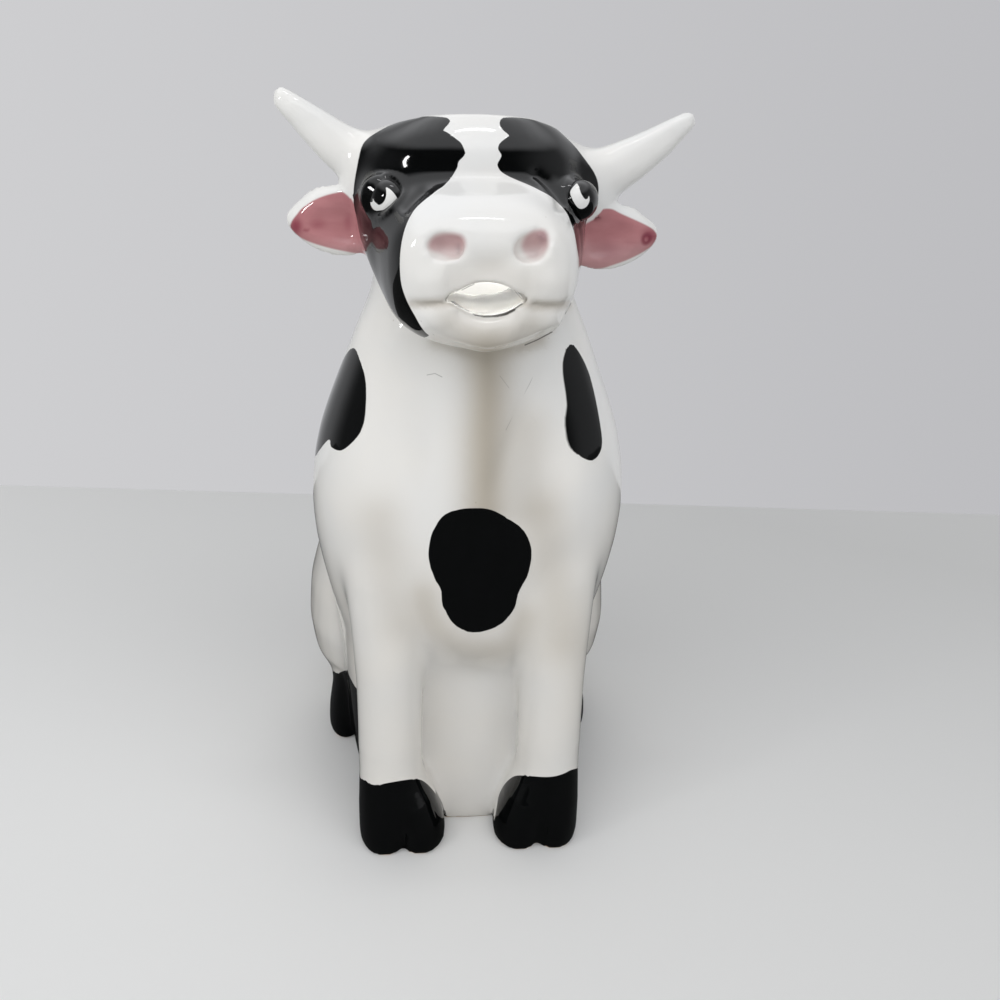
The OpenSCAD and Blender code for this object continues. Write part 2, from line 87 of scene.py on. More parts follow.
# lengths in mm, angles in degrees, and the photograph's width and height in pixels
view = dict(place=(-15.27, -236.47, 160.0), down=21.0, turn=-6.0, roll=1.7, lens=36.0, sensor=36.0, nearest=10,
            photo=1000)
cameraData = bpy.data.cameras.new("camera")
cameraData.lens = view["lens"]
cameraData.sensor_width = view["sensor"]
cameraData.clip_start = view["nearest"] * mm
camera = newObject("camera", cameraData)
camera.matrix_world = (Matrix.Translation(Vector(view["place"]) * mm)
                       @ Matrix.Rotation(math.radians(view["turn"]), 4, "Z")
                       @ Matrix.Rotation(math.radians(90 - view["down"]), 4, "X")
                       @ Matrix.Rotation(math.radians(view["roll"]), 4, "Z"))
scene.camera = camera
eyePoint = Vector(view["place"]) * mm
toCamera = np.array(camera.matrix_world.inverted())
middlePixel = view["photo"] / 2
lensPixels = view["photo"] * view["lens"] / view["sensor"]


def onPhoto(places):
    # where each place, in mm, lies on the photograph, and the mm that a pixel covers there
    seen = np.c_[places * mm, np.ones(len(places))] @ toCamera.T
    far = -seen[:, 2]
    return (middlePixel + lensPixels * seen[:, 0] / far, middlePixel - lensPixels * seen[:, 1] / far,
            far / (lensPixels * mm))


print("ware")
# soft is how far the glaze and the sponge have rounded each part; join is how far and how fully a joint is filled;
# crisp is what stays sharp: place, reach and softness left, which the rim and the foot have too
ware = dict(
    voxel=0.62, coarser=1.5, formPasses=80, joinPasses=90, weightSteps=50, rim=0.12, foot=0.02,
    soft=dict(body_shell=1.0, head_shell=0.36, horn=0.06, ear=0.05, foreleg=0.45, fore_hoof=0.30,
              haunch=0.8, hind_hoof=0.15, tail_handle=0.16, tail_tuft=0.25),
    join=dict(horn=(4.5, 0.55), ear=(2.0, 0.3), foreleg=(7.0, 1.0), fore_hoof=(6.0, 0.9), haunch=(4.5, 1.0),
              hind_hoof=(1.4, 0.5), tail_handle=(3.5, 0.6), tail_tuft=(3.0, 0.5)),
    crisp=[((0, -57, 129), 12, 0.10), ((-7.8, -57, 138.5), 7, 0.08), ((7.8, -57, 138.5), 7, 0.08),
           ((-18.5, -42, 145.5), 7, 0.10), ((18.5, -42, 145.5), 7, 0.10), ((0, -57, 125), 9, 0.12)],
)
names = sorted(cadNodes)


def kindOf(name):
    return name.replace("left_", "").replace("right_", "")


joined = bmesh.new()
owners = []
for index, name in enumerate(names):
    part = bmesh.new()
    part.from_mesh(cadNodes[name].data)
    bmesh.ops.remove_doubles(part, verts=part.verts, dist=0.001 * mm)
    mesh = bpy.data.meshes.new("merged")
    part.to_mesh(mesh)
    part.free()
    before = len(joined.faces)
    joined.from_mesh(mesh)
    owners += [index] * (len(joined.faces) - before)
    bpy.data.meshes.remove(mesh)
cadTree = BVHTree.FromBMesh(joined)
joinedMesh = bpy.data.meshes.new("joined")
joined.to_mesh(joinedMesh)
joined.free()
cow = newObject("cow", joinedMesh)
remesh = cow.modifiers.new("fuse", "REMESH")
remesh.mode = "VOXEL"
remesh.voxel_size = ware["voxel"] * mm * 1
applied(cow)

# each face of the fused skin belongs to the CAD part that it lies on
skin = cow.data
centres = column(skin.polygons, "center", 3)
faceRegion = np.array([owners[cadTree.find_nearest(Vector(p))[2]] for p in centres])
corners = column(skin.loops, "vertex_index", kind=np.int32)
sides = column(skin.polygons, "loop_total", kind=np.int32)
region = np.zeros(len(skin.vertices), int)
region[corners] = np.repeat(faceRegion, sides)
edges = column(skin.edges, "vertices", 2, np.int32)
co = column(skin.vertices, "co", 3) / mm
length = np.linalg.norm(co[edges[:, 0]] - co[edges[:, 1]], axis=1)
crossing = edges[region[edges[:, 0]] != region[edges[:, 1]]]


def spread(seeds, reach):
    # 1 at the seeds, falling to 0 at the reach along the skin
    left = np.zeros(len(co))
    left[seeds] = reach
    for _ in range(int(reach / ware["voxel"]) + 2):
        np.maximum.at(left, edges[:, 0], left[edges[:, 1]] - length)
        np.maximum.at(left, edges[:, 1], left[edges[:, 0]] - length)
    return left / reach


form = np.array([ware["soft"][kindOf(n)] for n in names])[region]
joinAt = np.zeros(len(co))
for kind, (reach, fill) in ware["join"].items():
    own = [i for i, n in enumerate(names) if kindOf(n) == kind]
    pairs = crossing[np.isin(region[crossing[:, 0]], own) | np.isin(region[crossing[:, 1]], own)]
    if len(pairs):
        joinAt = np.maximum(joinAt, fill * spread(np.unique(pairs), reach) ** 0.5)

for place, reach, left in ware["crisp"]:
    gap = np.linalg.norm(co - np.array(place), axis=1)
    hold = np.clip((gap - reach * 0.6) / (reach * 0.4), 0, 1)
    form = np.where(hold < 1, np.minimum(form, left + (form - left) * hold), form)
x, y, z = co.T
# the rim falls a little towards the back
onRim = (z > 157 - np.clip(y + 36, 0, 1000) * 0.14) & (np.abs(x) < 20) & (np.abs(y + 22) < 22)
form[onRim] = np.minimum(form[onRim], ware["rim"])
form[z < 1.2] = ware["foot"]
joinAt[z < 0.8] = 0

for title, weights, passes in (("form", form, ware["formPasses"]), ("joins", joinAt, ware["joinPasses"])):
    group = cow.vertex_groups.new(name=title)
    levels = np.round(weights * ware["weightSteps"]).astype(int)
    for level in np.unique(levels):
        if level:
            group.add(np.nonzero(levels == level)[0].tolist(), level / ware["weightSteps"], "REPLACE")
    smooth = cow.modifiers.new(title, "SMOOTH")
    smooth.factor = 0.5
    smooth.iterations = passes
    smooth.vertex_group = title
applied(cow)
cow.vertex_groups.clear()
skin = cow.data

print("modelling", len(skin.vertices), "points")


def outline(places, closed=True, steps=6):
    # smooth curve through the places
    p = np.array(places, float)
    out = []
    for i in range(len(p) if closed else len(p) - 1):
        a, b, c, d = (p[k % len(p)] if closed else p[min(max(k, 0), len(p) - 1)] for k in (i - 1, i, i + 1, i + 2))
        for t in np.arange(steps) / steps:
            out.append(0.5 * (2 * b + (c - a) * t + (2 * a - 5 * b + 4 * c - d) * t ** 2
                              + (3 * b - a - 3 * c + d) * t ** 3))
    return np.array(out if closed else out + [p[-1]])


def gapTo(u, v, line, closed=False):
    # distance of each place to a line in the plane
    best = np.full(len(u), 1e18)
    ends = np.roll(line, -1, axis=0) if closed else line[1:]
    for (ax, ay), (bx, by) in zip(line, ends):
        dx, dy = bx - ax, by - ay
        t = np.clip(((u - ax) * dx + (v - ay) * dy) / (dx * dx + dy * dy + 1e-12), 0, 1)
        best = np.minimum(best, (u - ax - t * dx) ** 2 + (v - ay - t * dy) ** 2)
    return np.sqrt(best)


def depthInside(u, v, places):
    # how far inside the outline each place is, negative outside
    line = outline(places)
    inside = np.zeros(len(u), bool)
    for (ax, ay), (bx, by) in zip(line, np.roll(line, -1, axis=0)):
        crosses = (ay > v) != (by > v)
        inside ^= crosses & (u < (bx - ax) * (v - ay) / (by - ay + 1e-12) + ax)
    return gapTo(u, v, line, True) * np.where(inside, 1, -1)


def ease(values, start, end):
    t = np.clip((values - start) / (end - start), 0, 1)
    return t * t * (3 - 2 * t)


def between(values, start, full, fade, end):
    return ease(values, start, full) * ease(-values, -end, -fade)


def bump(values, middle, width):
    return np.exp(-((values - middle) / width) ** 2)


def shape(shift):
    # moves the skin and gives its new places, directions and what the camera sees of it
    global co, normals, u, v, away, facing
    if shift is not None:
        skin.vertices.foreach_set("co", ((co + shift) * mm).ravel())
        skin.update()
    co = column(skin.vertices, "co", 3) / mm
    normals = column(skin.vertices, "normal", 3).astype(float)
    u, v, away = onPhoto(co)
    toEye = np.array(eyePoint) / mm - co
    facing = ease((normals * toEye).sum(1) / np.linalg.norm(toEye, axis=1), 0.0, 0.22)


shape(None)
neck = 112  # height of the joint between head and trunk, in mm
# full forms pressed out by hand: middle, reach along x, y and z, and shift, all in mm
forms = [
    ((-23, -36, 145), (9, 12, 14), (-0.7, 0, 0)), ((23, -36, 146), (9, 12, 14), (-1.8, 0, 0)),
    ((-15, -46, 123.5), (8, 9, 6), (-0.9, -0.3, -0.8)), ((0, -55, 121), (13, 12, 4.5), (0, -0.9, -1.5)),
    ((0, -37, 161), (17, 7, 4), (0, 0, 0.8)),
]
outer = ease((normals * (co - np.array([0, -20, 140]))).sum(1), 0.0, 6.0) * (co[:, 2] > neck)
shift = np.zeros(co.shape)
for middle, reach, by in forms:
    near = np.exp(-(((co - np.array(middle)) / np.array(reach)) ** 2).sum(1))
    shift += (near * outer)[:, None] * np.array(by)
shape(shift)

# the brow is one full form that rolls back to the rim: middle, half sizes, how square it is in plan and in height,
# the arch across it, and how softly it meets the forms below
brow = dict(middle=(-1.0, -20.0, 149.5), half=(24.0, 24.0, 11.4), plan=2.4, rise=3.9, arch=0.006, meet=0.06)
fromMiddle = co - np.array(brow["middle"])
local = fromMiddle / np.array(brow["half"])
arch = brow["arch"] * (co[:, 0] + 1) ** 2
local[:, 2] += arch / brow["half"][2]
plan = (np.abs(local[:, 0]) ** brow["plan"] + np.abs(local[:, 1]) ** brow["plan"]) ** (1 / brow["plan"])
size = (plan ** brow["rise"] + np.abs(local[:, 2]) ** brow["rise"]) ** (1 / brow["rise"])
outward = ease((normals * fromMiddle).sum(1) / np.linalg.norm(fromMiddle, axis=1), 0.05, 0.45)
front = ease(-co[:, 1], 24, 33) * ease(co[:, 2] + arch, 143, 151) * outward
under = np.clip(1 - size, -brow["meet"], 1)
grow = np.where(under > brow["meet"], under, (under + brow["meet"]) ** 2 / (4 * brow["meet"]))
shape((grow * front / np.maximum(size, 0.3))[:, None] * fromMiddle * (1, 1, 0.35))

# sponged where the brow runs into the cheeks and the muzzle, but not round the eyes
sponge = dict(passes=45, quickPasses=20, press=0.5, clearOfEyes=(4.5, 7))
eyeMiddles = dict(left=(-17.6, -41.0, 144.9), right=(19.0, -40.2, 145.4))
sponged = ease(-co[:, 1], 22, 30) * ease(co[:, 2], 140, 144) * ease(-co[:, 2], -161, -157) * outward
for middle in eyeMiddles.values():
    sponged *= ease(np.linalg.norm(co - np.array(middle), axis=1), *sponge["clearOfEyes"])
around = np.r_[edges, edges[:, ::-1]]
neighbours = np.bincount(around[:, 0], minlength=len(co))[:, None]
softened = co.copy()
for _ in range(sponge["passes"]):
    mean = np.stack([np.bincount(around[:, 0], softened[around[:, 1], k], len(co)) for k in range(3)], 1) / neighbours
    softened += (sponge["press"] * sponged)[:, None] * (mean - softened)
shape(softened - co)

# horns a little stouter than the drawn cones, and more so below
horns = dict(start=23, full=30, all=0.30, below=0.55)
isHorn = np.isin(region, [i for i, n in enumerate(names) if "horn" in n])
stout = ease(np.abs(co[:, 0]), horns["start"], horns["full"]) * isHorn
shape((stout * (horns["all"] + horns["below"] * np.clip(-normals[:, 2], 0, 1)))[:, None] * normals)

# lips: the line between them on the photograph, how it starts and ends there and where it stops beside the mouth,
# then in mm the crease, the roll of the lower lip, the pad of the upper lip and the groove below the nose
lips = dict(
    line=[(398, 296), (408, 302), (420, 305), (436, 304.5), (452, 302.5), (462, 308), (474, 313), (488, 315.5),
          (504, 313.5), (514, 309.5), (523, 303), (538, 305.5), (552, 306.5), (562, 306), (571, 301), (578, 294)],
    ends=(402, 428, 552, 578), mouth=(441, 451, 527, 537),
    crease=1.2, creaseWidth=0.75, roll=1.15, rollAt=-3.0, rollWidth=2.3, pad=0.55, padAt=4.2, padWidth=2.2,
    groove=0.8, grooveAt=8.6, grooveWidth=2.4, grooveMiddle=489, grooveReach=36,
)
line = outline(lips["line"], False)
above = (np.interp(u, line[:, 0], line[:, 1]) - v) * away
inMuzzle = ease(-co[:, 1], 40, 46) * facing * (np.abs(co[:, 2] - 129) < 13)
along = between(u, *lips["ends"]) * inMuzzle
beside = 1 - between(u, *lips["mouth"])
push = lips["roll"] * bump(above, lips["rollAt"], lips["rollWidth"]) * along
push -= lips["crease"] * bump(above, 0, lips["creaseWidth"]) * along * beside
push += lips["pad"] * bump(above, lips["padAt"], lips["padWidth"]) * along * beside
groove = bump(above, lips["grooveAt"], lips["grooveWidth"])
push -= lips["groove"] * groove * bump(u, lips["grooveMiddle"], lips["grooveReach"]) * inMuzzle
shape(push[:, None] * normals)

# modelling-tool strokes: line on the photograph, width and depth in mm (a negative depth stands proud)
strokes = dict(
    leftBrow=([(407, 209), (414, 201), (423, 193)], 0.9, 0.5),
    leftBrowFold=([(412, 212), (420, 203), (428, 196)], 0.8, -0.25),
    rightBrow=([(537, 174), (548, 184), (557, 197), (560, 205)], 1.0, 0.6),
    rightBrowFold=([(535, 181), (545, 190), (553, 200)], 0.8, -0.25),
    leftNostrilSlot=([(459, 240), (460, 249), (459, 256)], 1.0, 0.6),
    rightNostrilSlot=([(539, 233), (545, 236), (546, 242)], 1.1, 0.6),
    leftNostrilLip=([(430, 252), (440, 259), (452, 262), (463, 258)], 1.0, -0.4),
    rightNostrilLip=([(523, 255), (533, 263), (545, 258), (549, 247)], 1.0, -0.3),
    rightJaw=([(521, 349), (536, 342), (554, 331)], 0.8, 0.4),
    rightChin=([(563, 318), (570, 304)], 0.9, 0.3),
    leftJaw=([(421, 320), (436, 336)], 0.8, 0.25),
    dewlap=([(549, 336), (536, 372), (520, 418), (505, 456), (495, 484)], 2.6, 0.3),
    dewlapRidge=([(487, 352), (486, 400), (484, 450), (482, 500)], 3.6, -0.5),
    chestEdge=([(424, 600), (436, 628), (470, 650), (505, 648), (524, 622)], 3.2, -0.7),
    leftCleft=([(404, 836), (404, 862)], 0.5, 0.5),
    rightCleft=([(545, 826), (545, 850)], 0.5, 0.5),
)
push = np.zeros(len(co))
for line, width, depth in strokes.values():
    gap = gapTo(u, v, outline(line, False)) * away
    push -= depth * bump(gap, 0, width) * facing * (co[:, 1] < -28)
# rims of the eye sockets, a little way round the eyeballs
sockets = dict(rise=0.4, radius=4.5, width=0.6)
for middle in eyeMiddles.values():
    gap = np.linalg.norm((co - np.array(middle)) * (1, 0.8, 1.05), axis=1)
    rim = sockets["rise"] * bump(gap, sockets["radius"], sockets["width"])
    push += rim * ease(-normals[:, 1], -0.3, 0.1) * ease(-co[:, 1], 34, 38)
shape(push[:, None] * normals)

print("paint")
x, y, z = co.T
# outlines on the photograph; the face patches end behind the cheek on a line in the side view, in mm
patches = dict(
    leftFace=[(450, 121.5), (446.5, 126.5), (442.8, 130), (447.5, 132.5), (455, 138), (461, 143), (464, 149),
              (465.3, 153.5), (463, 157), (459.5, 160.5), (458, 163), (457.5, 167), (455, 171.5), (452, 176.5),
              (448, 181.5), (443, 186.5), (437, 190.5), (430, 196), (423, 201.5), (416, 208), (410.5, 216),
              (406, 226), (403, 236), (401, 247), (400, 258), (400, 270), (401, 282), (403.5, 292), (407, 301),
              (411, 309), (415, 316), (420, 325), (425, 332), (429, 336), (421, 338), (410, 340), (385, 330),
              (340, 300), (330, 200), (336, 160), (350, 149), (361, 142), (370, 135.5), (380, 129), (390, 124),
              (400, 120), (415, 117.3), (428, 116.3), (440, 116.8), (447.5, 118)],
    rightFace=[(499.7, 122), (500.5, 127), (504.5, 131.5), (509, 135.5), (504, 139.5), (499.5, 143.5), (498, 148.5),
               (500, 152.5), (501.5, 155.5), (499.5, 160), (497.5, 163.5), (498, 167), (501, 171.5), (508, 176),
               (518, 180.5), (530, 185.5), (541, 191), (550, 196), (557, 202), (563, 208), (568, 215.5), (572, 226),
               (575, 236), (577, 248), (579, 260), (579.5, 272), (578, 282), (576, 292), (582, 300), (612, 290),
               (630, 200), (618, 168), (600, 158), (585, 151), (575, 142), (565, 134), (555, 128), (545, 123.5),
               (532, 119.5), (520, 117.8), (510, 117.3), (502.5, 118)],
    cheekEnd=[(-28, 167), (-31, 158), (-33.8, 152), (-34.0, 146), (-33.6, 141), (-35, 137), (-38.2, 133),
              (-41.0, 129.5), (-41.6, 126), (-42.2, 123), (-43, 119), (-45, 114), (-72, 112), (-74, 167)],
    chest=[(471.3, 508.2), (490, 509.5), (508.2, 518.6), (524, 531), (531.6, 551.2), (527.7, 575), (519, 591.3),
           (513.6, 609.7), (498, 626), (473.5, 632.5), (455, 625), (443, 606), (440.9, 590), (434, 577), (429, 560),
           (429, 546.8), (433, 531), (443, 516), (457, 510)],
)
# outlines in mm: shoulders, flank and haunch in the side view, as (y, z), and the back from behind, as (x, z)
spots = dict(
    leftShoulder=[(-29.5, 114.0), (-34.5, 110.4), (-37.2, 104.8), (-38.4, 98.7), (-36.6, 94.3), (-33.5, 94.0),
                  (-32.3, 95.2), (-28.5, 91.5), (-24.5, 89.0), (-19.5, 92.0), (-17.5, 99.0), (-20.5, 107.0),
                  (-25.0, 112.0)],
    rightShoulder=[(-34.3, 116.4), (-36.9, 113.1), (-38.8, 105.4), (-40.0, 100.6), (-40.7, 95.1), (-39.1, 92.6),
                   (-36.6, 94.9), (-35.2, 100.7), (-34.9, 102.1), (-33.2, 110.6)],
    rightFlank=[(-2, 88), (8, 92), (19, 86), (22, 76), (14, 68), (9, 60), (0, 58), (-6, 66), (-4, 78)],
    leftHaunch=[(24, 58), (33, 54), (41, 44), (42, 33), (35, 27), (29, 32), (22, 35), (18, 45)],
    back=[(-15, 93), (-6, 99), (6, 97), (13, 90), (16, 79), (9, 71), (4, 64), (-7, 63), (-14, 70), (-13, 81)],
)
# black glaze of the hooves: outlines on the photograph, and in mm the heights where it ends elsewhere
hooves = dict(
    foreLine=18.2, hindLine=18.0, hindTop=27,
    left=[(340, 770), (362, 779), (370, 783.5), (376, 785), (390, 782.5), (405, 780), (416, 779), (424, 781.5),
          (432, 789), (439, 799), (444, 809), (447, 817), (452, 840), (450, 880), (345, 880), (335, 820)],
    right=[(600, 762), (582, 767), (571, 770), (565, 773), (556, 776), (545, 777), (530, 776), (518, 775.5),
           (511, 778), (504, 785), (499, 795), (497, 805), (495, 817), (490, 840), (492, 880), (600, 880),
           (610, 820)],
    leftHind=[(330, 690), (334, 677), (342, 671.5), (352, 670.5), (366, 674), (374, 700), (370, 745), (350, 742),
              (334, 725), (328, 705)],
)
farOutside = -9.0  # mm
seamPasses = 40


def onPart(*parts):
    return np.isin(region, [names.index(n) for n in parts])


def within(*parts):
    # 1 well inside the parts, -1 well outside, smooth across their seams
    inside = onPart(*parts) * 2.0 - 1
    for _ in range(seamPasses):
        inside = 0.5 * inside + 0.5 * np.bincount(around[:, 0], inside[around[:, 1]], len(co)) / neighbours[:, 0]
    return inside


def keptTo(where, depth):
    # a patch in the region where it belongs
    return np.where(where, depth, farOutside)


# each patch is a depth in mm inside its outline; the face patches end where the rim turns into the crown
cheek = depthInside(y, z, patches["cheekEnd"])
leftFace = keptTo(x < 2, np.minimum(depthInside(u, v, patches["leftFace"]) * away, cheek))
rightFace = keptTo(x > -2, np.minimum(depthInside(u, v, patches["rightFace"]) * away, cheek))
faces = keptTo((z > neck) & (y < -28), np.maximum(leftFace, rightFace))
outOfCrown = (normals * (co - np.array([0, -18, 150]))).sum(1)
faces = np.where(z > 150, np.minimum(faces, 0.5 * outOfCrown), faces)
chest = keptTo((y < -26) & (facing > 0) & (z < 110), depthInside(u, v, patches["chest"]) * away)
leftShoulder = keptTo(x < -12, depthInside(y, z, spots["leftShoulder"]))
rightShoulder = keptTo(x > 12, depthInside(y, z, spots["rightShoulder"]))
rightFlank = keptTo((x > 12) & (normals[:, 0] > 0), depthInside(y, z, spots["rightFlank"]))
leftHaunch = keptTo(x < -18, np.minimum(depthInside(y, z, spots["leftHaunch"]), 3 * within("left_haunch") - 1))
back = keptTo((y > 5) & (normals[:, 1] > 0) & onPart("body_shell"), depthInside(x, z, spots["back"]))

# the fore hooves follow the photograph where it shows them, and end level behind, on the legs alone
onForelegs = 3 * within("left_foreleg", "left_fore_hoof", "right_foreleg", "right_fore_hoof")
behind = (1 - facing) * np.clip(np.minimum(hooves["foreLine"] - z, onForelegs), -3, 3)
inView = {side: facing * np.clip(depthInside(u, v, hooves[side]) * away, -3, 3) for side in ("left", "right")}
foreHooves = keptTo((y < -30) & (z < 21.5), np.where(x < 0, inView["left"], inView["right"]) + behind)

# the hind hooves and the tuft are black to a smooth line near their joints; beside the left one the photograph shows
# black on the trunk, up to where the trunk turns away from it
leftHind = np.min([depthInside(u, v, hooves["leftHind"]) * away, hooves["hindTop"] - z, y + 38, -20 - x,
                   12 * facing - 0.6], axis=0)
leftHind = keptTo(~onPart("left_foreleg", "left_fore_hoof"), leftHind)
ends = 2 * within("left_hind_hoof", "right_hind_hoof", "tail_tuft")
black = np.max([leftHind, faces, chest, leftShoulder, rightShoulder, rightFlank, leftHaunch, back, foreHooves, ends],
               axis=0)
hindSides = np.minimum(np.minimum(hooves["hindLine"] - z, y + 31), np.abs(x) - 21)
black = np.where((y < 0) & (np.abs(x) > 20) & (z < 20), np.maximum(black, hindSides), black)

# rose glaze of the ears and nostrils: outline on the photograph and how crisp its edge is
roses = dict(
    leftEar=([(290.5, 224), (293, 219), (297, 214), (301, 209), (307, 204.5), (314, 200), (322, 196.5), (330, 194),
              (337, 192.5), (343, 192), (350, 198), (356, 206), (362, 214), (366, 223), (369, 232), (371, 241),
              (372, 249), (370, 256), (355, 253.5), (345, 251.5), (335, 249.5), (325, 247), (315, 244), (307, 241),
              (300, 237.5), (294, 232.5), (290.5, 228)], 1.0),
    rightEar=([(603, 209), (612, 209), (620, 213), (630, 217.5), (640, 222), (648, 226), (654, 230), (657.5, 236),
               (656, 240), (652, 246), (645, 251), (636, 256), (625, 261), (612, 265.5), (602, 268.5), (590, 269),
               (578, 264), (578, 245), (584, 226), (594, 219), (600, 213)], 1.0),
    leftNostril=([(428, 247), (430, 240), (436, 235), (445, 233), (455, 233), (463, 236), (466, 243), (464, 252),
                  (459, 258), (450, 258), (440, 254), (431, 251)], 0.35),
    rightNostril=([(521, 246), (524, 238), (530, 232), (537, 229.5), (544, 229.5), (548, 234), (549, 241), (547, 250),
                   (540, 258), (531, 259), (524, 254)], 0.35),
)
# where the rose was laid on thicker, and painted shade in the nostril pits and at the ears' upper edge and root:
# middle on the photograph, spread in pixels along and across, and strength
deepRosesAndShade = [((296, 226), 7, 10, 0.9), ((306, 230.5), 3.5, 2, 0.7), ((318, 224), 10, 7, 0.45),
             ((348, 222), 5, 12, 0.45), ((650, 236), 9, 8, 0.9), ((608, 250), 14, 12, 0.45),
             ((630, 242), 10, 3, 0.35), ((458.5, 250), 3.5, 7.5, 1.0), ((448, 239), 14, 5, 0.35),
             ((543, 237), 5.5, 7, 1.0), ((528, 240), 5, 8, 0.3)]
rose = np.full(len(co), -3.0)
frontOf = dict(leftEar=(x < -20) & (y < -26), rightEar=(x > 20) & (y < -26),
               leftNostril=(y < -52) & (x < 0), rightNostril=(y < -52) & (x > 0))
for name, (places, sharp) in roses.items():
    depth = depthInside(u, v, places) * away * sharp
    rose = np.where(frontOf[name] & (facing > 0), np.maximum(rose, depth), rose)
# it is thinner on the nostrils than on the ears, and paler downwards, painted light where their lower rims catch the
# light
thinAndLit = np.where(y < -50, 0.36 + 0.25 * ease(v, 240, 258), 0.22 * ease(v, 225, 255))
deepAndShade = np.zeros(len(co))
for (middleU, middleV), along, across, strength in deepRosesAndShade:
    deepAndShade = np.maximum(deepAndShade, strength * np.exp(-((u - middleU) / along) ** 2 - ((v - middleV) / across) ** 2))
deepAndShade *= facing * (y < -26)

# glaze runs off ridges and pools in hollows, shown warmer and darker, partly painted shade; the warm tint towards the
# foot is painted shade and bounce light
poolingAndShade = dict(passes=120, fullAt=0.8, hollows=0.35, inRose=0.1, foot=0.3)
settled = cow.copy()
settled.data = skin.copy()
scene.collection.objects.link(settled)
settle = settled.modifiers.new("settle", "SMOOTH")
settle.factor = 0.5
settle.iterations = poolingAndShade["passes"]
applied(settled)
hollow = ((column(settled.data.vertices, "co", 3) / mm - co) * normals).sum(1)
bpy.data.objects.remove(settled)
poolAndShade = np.clip(hollow / poolingAndShade["fullAt"], 0, 1) * np.where(rose > -0.6, poolingAndShade["inRose"], poolingAndShade["hollows"])
poolAndShade = np.maximum(poolAndShade, poolingAndShade["foot"] * ease(-z, -100, -35))
# long runs of thicker glaze and of painted shade, such as the head's shadow down the chest and the shade by the lips:
# line on the photograph, spread in pixels and strength
runsAndShade = [([(487, 356), (488, 395), (486, 440), (485, 508)], 26, 0.95), ([(530, 430), (528, 470), (533, 505)], 26, 0.35),
        ([(541, 515), (548, 545), (556, 590), (562, 640)], 26, 0.45),
        ([(424, 596), (434, 622), (462, 646), (505, 648), (524, 618)], 16, 0.5),
        ([(380, 520), (385, 575), (398, 620)], 26, 0.35), ([(436, 342), (487, 352), (540, 341)], 8, 0.45),
        ([(412, 304), (440, 304), (455, 302)], 5, 0.6), ([(521, 303), (540, 306), (566, 305)], 5, 0.7),
        ([(450, 322), (487, 340), (530, 326)], 18, 0.45), ([(455, 280), (489, 272), (525, 282)], 16, 0.25)]
for line, spreadPixels, strength in runsAndShade:
    near = strength * bump(gapTo(u, v, outline(line, False)), 0, spreadPixels) * facing * (y < -24)
    poolAndShade = 1 - (1 - poolAndShade) * (1 - near)


def store(mesh, **layers):
    for title, values in layers.items():
        layer = mesh.attributes.new(title, "FLOAT", "POINT")
        layer.data.foreach_set("value", np.asarray(values, np.float32))


deepest = 5  # mm; further from its edge the black is the same
# the pooled glaze and deep rose layers carry painted shade as well as glaze
store(skin, blackGlaze=np.clip(black, -deepest, deepest), roseGlaze=rose, thinRose=thinAndLit, deepRose=deepAndShade,
      pooledGlaze=poolAndShade)

print("parts")
seams = dict(tidyRounds=2, smoothRounds=12, pull=0.6, ringsKept=3, mostTriangles=180000)
# a face whose neighbours mostly belong to another part goes with them
cutter = bmesh.new()
cutter.from_mesh(skin)
cutter.faces.ensure_lookup_table()
for _ in range(seams["tidyRounds"]):
    for face in cutter.faces:
        nextTo = [faceRegion[f.index] for e in face.edges for f in e.link_faces if f is not face]
        other = [r for r in nextTo if r != faceRegion[face.index]]
        if len(other) > 2:
            faceRegion[face.index] = max(set(other), key=other.count)

# the seams between the parts run smoothly over the skin
cutter.verts.ensure_lookup_table()
skinTree = BVHTree.FromBMesh(cutter)
seamTo = {}
for edge in cutter.edges:
    if len(edge.link_faces) == 2 and faceRegion[edge.link_faces[0].index] != faceRegion[edge.link_faces[1].index]:
        a, b = edge.verts
        seamTo.setdefault(a.index, []).append(b.index)
        seamTo.setdefault(b.index, []).append(a.index)
for _ in range(seams["smoothRounds"]):
    moves = {}
    for i, others in seamTo.items():
        if len(others) == 2:
            middle = (cutter.verts[others[0]].co + cutter.verts[others[1]].co) / 2
            moves[i] = skinTree.find_nearest(cutter.verts[i].co.lerp(middle, seams["pull"]))[0]
    for i, place in moves.items():
        cutter.verts[i].co = place
cutter.to_mesh(skin)
cutter.free()
skin.polygons.foreach_set("use_smooth", np.ones(len(skin.polygons), bool))
skin.update()

pieces = {}
for index, name in enumerate(names):
    part = bmesh.new()
    part.from_mesh(skin)
    part.faces.ensure_lookup_table()
    bmesh.ops.delete(part, geom=[f for f in part.faces if faceRegion[f.index] != index], context="FACES")
    # a large part gets fewer triangles away from its seams
    nearSeam = {v for v in part.verts if v.is_boundary}
    for _ in range(seams["ringsKept"]):
        nearSeam |= {e.other_vert(v) for v in nearSeam for e in v.link_edges}
    part.verts.index_update()
    free = [v.index for v in part.verts if v not in nearSeam]
    triangles = sum(len(f.verts) - 2 for f in part.faces)
    mesh = bpy.data.meshes.new(name + ".glaze")
    part.to_mesh(mesh)
    part.free()
    pieces[name] = newObject("glazed_" + name, mesh)
    if triangles > seams["mostTriangles"]:
        pieces[name].vertex_groups.new(name="free").add(free, 1.0, "REPLACE")
        fewer = pieces[name].modifiers.new("fewer", "DECIMATE")
        fewer.ratio = seams["mostTriangles"] / triangles
        fewer.vertex_group = "free"
    # shading comes from the whole skin, so that the glaze runs over the seams
    shading = pieces[name].modifiers.new("shading", "DATA_TRANSFER")
    shading.object = cow
    shading.use_loop_data = True
    shading.data_types_loops = {"CUSTOM_NORMAL"}
    shading.loop_mapping = "POLYINTERP_NEAREST"
    applied(pieces[name])
    pieces[name].vertex_groups.clear()

print("eyes")
